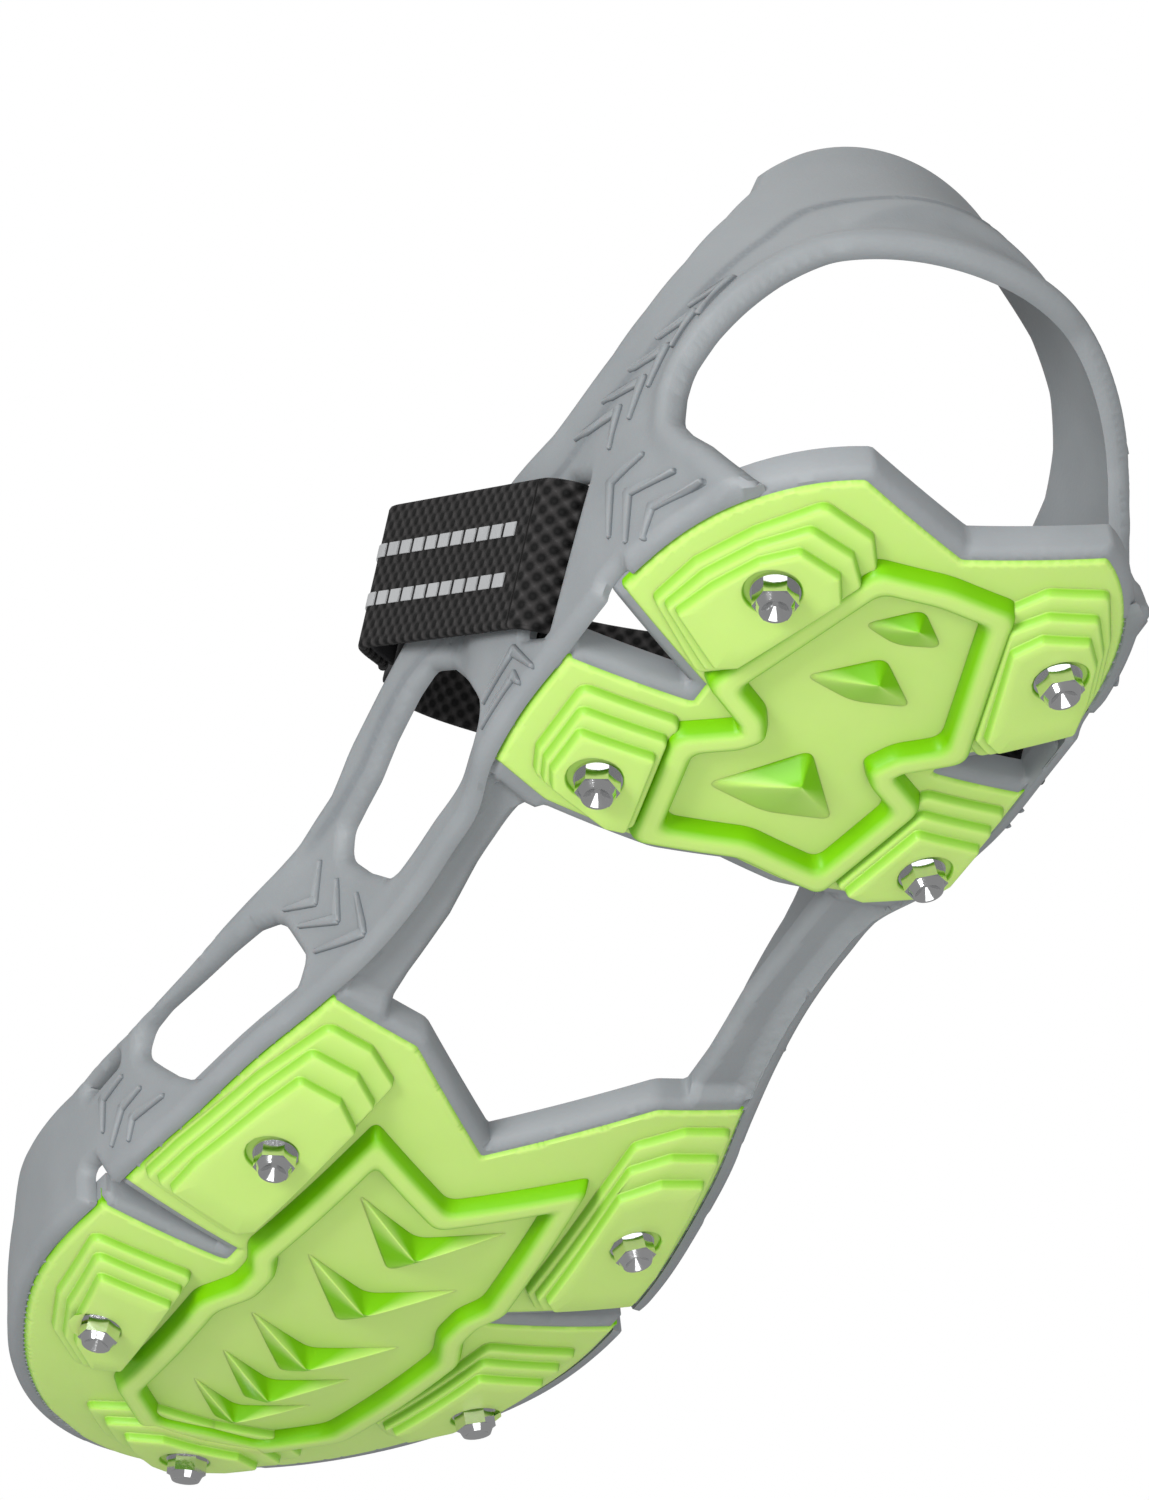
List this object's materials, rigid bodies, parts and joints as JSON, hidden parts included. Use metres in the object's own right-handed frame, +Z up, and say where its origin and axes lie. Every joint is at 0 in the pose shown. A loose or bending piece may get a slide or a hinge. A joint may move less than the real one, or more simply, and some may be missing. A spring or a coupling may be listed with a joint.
{
  "type": "ice cleat overshoe",
  "caption": "Stretch rubber over-boot ice cleat: side nets, toe and heel bands over two studded lime outsoles, with a webbing strap over the instep that peels open.",
  "frame": {"origin": "on the floor under the middle of the cleat, midway along its length and width", "axes": "+X toward the toe, +Y toward the side where the strap peels open, +Z up; the stud tips stand on z = 0"},
  "size_m": [0.319, 0.1116, 0.1119],
  "materials": {
    "harness_grey": "matte moulded elastomer",
    "outsole_lime": "satin translucent elastomer",
    "stud_zinc": "bright zinc plate",
    "webbing_black": "woven webbing",
    "hook_loop": "hook and loop pile",
    "reflective": "woven reflective yarn",
    "thread": "bar-tack thread",
    "label_blue": "plain woven label"
  },
  "bodies": {
    "harness": {"forefoot_outsole": "outsole_lime", "heel_outsole": "outsole_lime", "forefoot_tray": "harness_grey", "heel_tray": "harness_grey", "near_arch_web": "harness_grey", "far_arch_web": "harness_grey", "near_side_net": "harness_grey", "far_side_net": "harness_grey", "heel_band": "harness_grey", "toe_band": "harness_grey", "stud_heel_rear_near": "stud_zinc", "stud_heel_rear_far": "stud_zinc", "stud_heel_front_near": "stud_zinc", "stud_heel_front_far": "stud_zinc", "stud_fore_rear_near": "stud_zinc", "stud_fore_rear_far": "stud_zinc", "stud_fore_front_near": "stud_zinc", "stud_fore_front_far": "stud_zinc", "stud_toe": "stud_zinc", "strap_band": "webbing_black", "strap_fold": "webbing_black", "far_loop": "webbing_black", "far_stitching": "thread", "loop_patch": "hook_loop", "band_stripes": "reflective"},
    "flap": {"strap_flap": "webbing_black", "hook_patch": "hook_loop", "flap_stripes": "reflective", "flap_label": "label_blue"}
  },
  "joints": [
    {"name": "flap_peel", "type": "hinge", "parent": "harness", "child": "flap", "pos_m": [-0.09399, 0.04927, 0.03312], "axis": [-0.6018, 0, 0.7986], "range_deg": [0, 100]}
  ]
}
